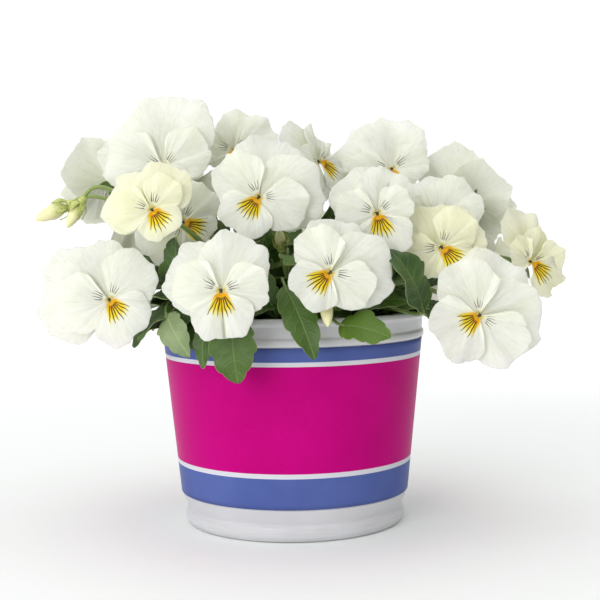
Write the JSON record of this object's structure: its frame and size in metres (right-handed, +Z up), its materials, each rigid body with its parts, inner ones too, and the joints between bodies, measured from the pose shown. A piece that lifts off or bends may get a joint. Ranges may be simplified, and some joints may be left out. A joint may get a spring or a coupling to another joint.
{
  "type": "potted trailing pansy",
  "caption": "Bedding pansy in bloom with large ruffled white flowers, buds and scalloped green leaves, growing from soil in a round tapered plastic pot with a plain coloured sleeve.",
  "frame": {"origin": "the middle of the flat underside of the pot", "axes": "+Z up, -Y towards the viewer of the picture, +X to that viewer's right"},
  "size_m": [0.3028, 0.2377, 0.2465],
  "materials": {
    "pot": "smooth moulded white plastic, slightly translucent",
    "label": "printed plastic sleeve: a blue band, a white line, a wide magenta band, a white line and a blue band",
    "soil": "dark moist potting mix with pale grains",
    "petal_white": "soft thin white petals, a yellow blotch and dark whisker lines at the throat",
    "petal_cream": "soft thin petals of pale cream, a yellow blotch and dark whisker lines at the throat",
    "bud": "pale yellow green rolled petals",
    "leaf": "green leaves, stalks and sepals with paler veins"
  },
  "bodies": {
    "root": {"pot": "pot", "label": "label", "soil": "soil", "bloom_back": "petal_white", "bloom_back_left": "petal_white", "bloom_back_low_left": "petal_white", "bloom_back_low_right": "petal_white", "bloom_back_right": "petal_white", "bloom_behind_cream": "petal_white", "bloom_center": "petal_white", "bloom_cream_left": "petal_cream", "bloom_cream_right": "petal_cream", "bloom_far_left": "petal_white", "bloom_far_right": "petal_cream", "bloom_front": "petal_white", "bloom_front_left": "petal_white", "bloom_front_middle": "petal_white", "bloom_front_right": "petal_white", "bloom_high_back": "petal_white", "bloom_high_back_left": "petal_white", "bloom_high_back_right": "petal_white", "bloom_high_right": "petal_white", "bloom_right_of_center": "petal_white", "bloom_top_back_left": "petal_white", "bloom_top_left": "petal_white", "bloom_top_middle": "petal_white", "bloom_top_right": "petal_white", "bloom_upper_right": "petal_white", "bud_back": "bud", "bud_back_right": "bud", "bud_inner": "bud", "bud_left": "bud", "bud_low_left": "bud", "bud_rim": "bud", "stem_back": "leaf", "stem_back_left": "leaf", "stem_back_right": "leaf", "stem_far_left": "leaf", "stem_front": "leaf", "stem_front_left": "leaf", "stem_front_right": "leaf", "stem_left": "leaf", "stem_middle_left": "leaf", "stem_middle_right": "leaf", "stem_right": "leaf", "stem_upper_left": "leaf", "stem_upper_right": "leaf"}
  },
  "joints": []
}
